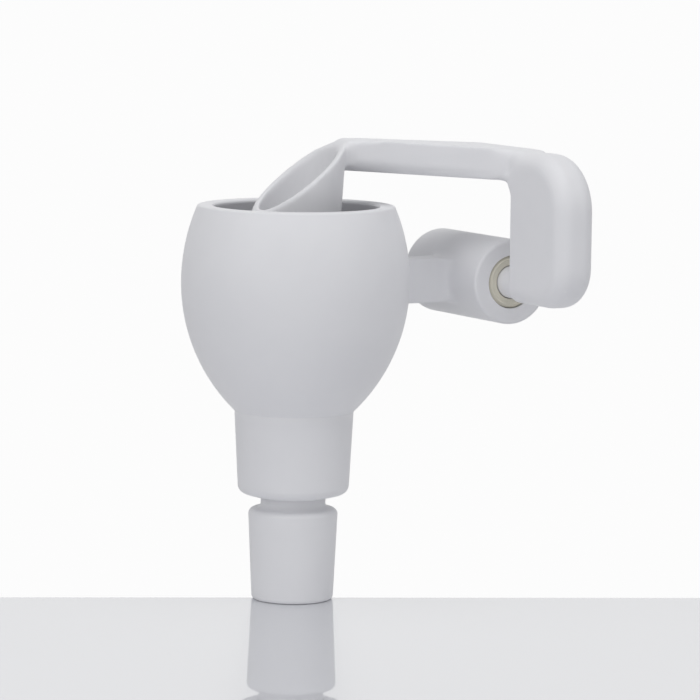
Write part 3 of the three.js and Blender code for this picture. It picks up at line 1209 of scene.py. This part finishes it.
@dataclass
class RearRetainer:
    """Washer and screw that hold the shaft in the barrel."""

    bushing: Fitting
    steel: Fitting
    pivot: Vector
    face: float = 24.6
    washer_radius: float = 9.5
    washer_bore: float = 3.1
    washer_thick: float = 1.6
    head_radius: float = 5.5
    head_height: float = 3.0
    shank_radius: float = 2.4
    shank_end: float = 10.0
    socket_radius: float = 1.8
    socket_depth: float = 1.6
    gap: float = 0.3

    @property
    def axis(self) -> Axis:
        """The hinge axis, with heights counted along Y."""
        return Axis(self.pivot, Vector((0, 1, 0)), Vector((1, 0, 0)))

    def washer(self) -> bpy.types.Object:
        """Models the washer with broken edges."""
        low, high, soft = self.face, self.face + self.washer_thick, 0.25
        outline = Outline((self.washer_bore, low), (self.washer_radius - soft, low),
                          (self.washer_radius, low + soft),
                          (self.washer_radius, high - soft), (self.washer_radius - soft, high),
                          (self.washer_bore + soft, high), (self.washer_bore, high - soft))
        washer = Bench.turn("washer_rear", outline, self.axis, 96)
        return self.bushing.fit(washer, "thrust_washer", crease=25.0)

    def screw(self) -> bpy.types.Object:
        """Models the screw with a rounded head and a hexagon socket."""
        low = self.face + self.washer_thick + self.gap
        high, soft = low + self.head_height, 0.7
        outline = Outline((0.0, self.shank_end), (self.shank_radius - 0.4, self.shank_end),
                          (self.shank_radius, self.shank_end + 0.4), (self.shank_radius, low),
                          (self.head_radius - 0.15, low), (self.head_radius, low + 0.15))
        outline.arc((self.head_radius - soft, high - soft), soft, 0.0, 90.0, 6)
        outline.to((self.socket_radius + 0.45, high), (self.socket_radius + 0.2, high - 0.2),
                   (0.0, high - 0.2))
        screw = Bench.turn("screw_rear", outline, self.axis, 96)
        bpy.ops.object.select_all(action="DESELECT")
        bpy.ops.mesh.primitive_cylinder_add(vertices=6, radius=self.socket_radius,
                                            depth=2 * self.socket_depth,
                                            location=self.axis.point(0.0, high), rotation=(math.pi / 2, 0, 0))
        socket = bpy.context.active_object
        bpy.ops.object.transform_apply(location=True, rotation=True, scale=True)
        Bench.combine(screw, socket, "DIFFERENCE")
        return self.steel.fit(screw, "retaining_screw", crease=30.0)


# ------------------------------------------------------------------- the stage


@dataclass
class Studio:
    """Table, soft light and camera."""

    camera_azimuth: float = -29.0
    camera_elevation: float = 6.66
    camera_distance: float = 1.303
    camera_lens: float = 205.7
    camera_roll: float = 0.73
    aim_right: float = 0.018
    aim_height: float = 0.0821
    table_azimuth: float = -25.2
    table_behind: float = 0.0014
    table_depth: float = 0.9
    table_width: float = 1.6
    table_thick: float = 0.012
    sky_seen: Colour = (0.975, 0.975, 0.975)
    sky_light: Colour = (0.310, 0.313, 0.324)
    top_power: float = 2.4
    left_power: float = 1.7
    right_power: float = 1.0
    front_power: float = 1.3

    def facing(self, azimuth: float, elevation: float) -> Vector:
        """Direction from the object towards an azimuth and elevation in degrees."""
        around, up = math.radians(azimuth), math.radians(elevation)
        return Vector((math.sin(around) * math.cos(up), -math.cos(around) * math.cos(up), math.sin(up)))

    def camera(self) -> None:
        """Sets up the camera and makes it the scene's."""
        data = bpy.data.cameras.new("camera")
        data.lens, data.sensor_width = self.camera_lens, 36.0
        data.clip_start, data.clip_end = 0.05, 20.0
        camera = bpy.data.objects.new("camera", data)
        bpy.context.scene.collection.objects.link(camera)
        around = math.radians(-self.camera_azimuth)
        aim = Vector((math.cos(around), -math.sin(around), 0)) * self.aim_right
        aim.z = self.aim_height
        eye = aim + self.facing(self.camera_azimuth, self.camera_elevation) * self.camera_distance
        look = (aim - eye).to_track_quat("-Z", "Y").to_matrix().to_4x4()
        roll = Matrix.Rotation(math.radians(self.camera_roll), 4, "Z")
        camera.matrix_world = Matrix.Translation(eye) @ look @ roll
        bpy.context.scene.camera = camera

    def table(self) -> None:
        """Models the pale table that the cup stands on."""
        around = Matrix.Rotation(math.radians(self.table_azimuth), 4, "Z")
        centre = around @ Vector((0, self.table_behind - self.table_depth / 2, -self.table_thick / 2))
        bpy.ops.object.select_all(action="DESELECT")
        bpy.ops.mesh.primitive_cube_add(size=1.0, location=centre,
                                        rotation=(0, 0, math.radians(self.table_azimuth)),
                                        scale=(self.table_width, self.table_depth, self.table_thick))
        table = bpy.context.active_object
        table.name = "table"
        bpy.ops.object.transform_apply(location=True, rotation=True, scale=True)
        Bench.apply(table, "BEVEL", width=0.001, segments=3)
        table.data.materials.append(TableTop().material())

    def softbox(self, name: str, azimuth: float, elevation: float, distance: float, size: float,
                power: float) -> None:
        """Hangs a square soft light that looks at the cup.

        Args:
            name: The light's name.
            azimuth: Its azimuth round the cup in degrees.
            elevation: Its elevation in degrees.
            distance: Its distance in metres.
            size: Its side in metres.
            power: Its power in watts.
        """
        data = bpy.data.lights.new(name, "AREA")
        data.shape, data.size, data.energy = "SQUARE", size, power
        light = bpy.data.objects.new(name, data)
        bpy.context.scene.collection.objects.link(light)
        aim = Vector((0.02, 0, 0.08))
        place = aim + self.facing(azimuth, elevation) * distance
        turn = (aim - place).to_track_quat("-Z", "Y").to_matrix().to_4x4()
        light.matrix_world = Matrix.Translation(place) @ turn
        light.visible_camera = False

    def lights(self) -> None:
        """Lights the cup with a pale sky and soft lights above, in front and on both sides."""
        world = bpy.data.worlds.new("sky")
        bpy.context.scene.world = world
        world.use_nodes = True
        nodes, links = world.node_tree.nodes, world.node_tree.links
        nodes.clear()
        seen, light = (nodes.new("ShaderNodeBackground") for _ in range(2))
        seen.inputs["Color"].default_value = (*self.sky_seen, 1.0)
        light.inputs["Color"].default_value = (*self.sky_light, 1.0)
        mix = nodes.new("ShaderNodeMixShader")
        path, either = nodes.new("ShaderNodeLightPath"), nodes.new("ShaderNodeMath")
        either.operation = "MAXIMUM"
        links.new(path.outputs["Is Camera Ray"], either.inputs[0])
        links.new(path.outputs["Is Glossy Ray"], either.inputs[1])
        links.new(either.outputs[0], mix.inputs[0])
        links.new(light.outputs[0], mix.inputs[1])
        links.new(seen.outputs[0], mix.inputs[2])
        links.new(mix.outputs[0], nodes.new("ShaderNodeOutputWorld").inputs["Surface"])
        self.softbox("top_light", -10.0, 78.0, 0.9, 0.8, self.top_power)
        self.softbox("left_light", -70.0, 26.0, 1.1, 0.6, self.left_power)
        self.softbox("right_light", 28.0, 36.0, 1.1, 0.6, self.right_power)
        self.softbox("front_light", -40.0, 52.0, 1.1, 0.6, self.front_power)
        bpy.context.scene.view_settings.view_transform = "Standard"


# ------------------------------------------------------------------------ main


def main() -> None:
    """Builds the studio and every piece in order."""
    logging.basicConfig(level=logging.INFO, format="%(name)s %(message)s", stream=sys.stdout)
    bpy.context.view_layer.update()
    studio = Studio()
    studio.camera()
    studio.table()
    studio.lights()
    hinge = Vector(frame["joints"][0]["pos_m"])
    pivot = hinge / TO_METRES
    white = MouldedPlastic().material()
    beige = TurnedPlastic(hinge).material()
    rubber = SealRubber().material()
    steel = TurnedSteel(hinge).material()

    cup = CupBody(Fitting(Body.CUP, Slot.WHITE_PLASTIC, white), Fitting(Body.CUP, Slot.SEAL_RUBBER, rubber))
    cup.bowl()
    cup.collar()
    cup.joint()
    cup.seat()
    cup.dress_seal()
    bracket = PivotBracket(cup.plastic, Fitting(Body.CUP, Slot.BUSH_PLASTIC, beige), pivot)
    bracket.bracket()
    bracket.bushes()
    SwingArm(Fitting(Body.ARM, Slot.WHITE_PLASTIC, white), pivot).build()
    retainer = RearRetainer(Fitting(Body.ARM, Slot.BUSH_PLASTIC, beige),
                            Fitting(Body.ARM, Slot.SCREW_STEEL, steel), pivot)
    retainer.washer()
    retainer.screw()


if __name__ == "__main__":
    main()
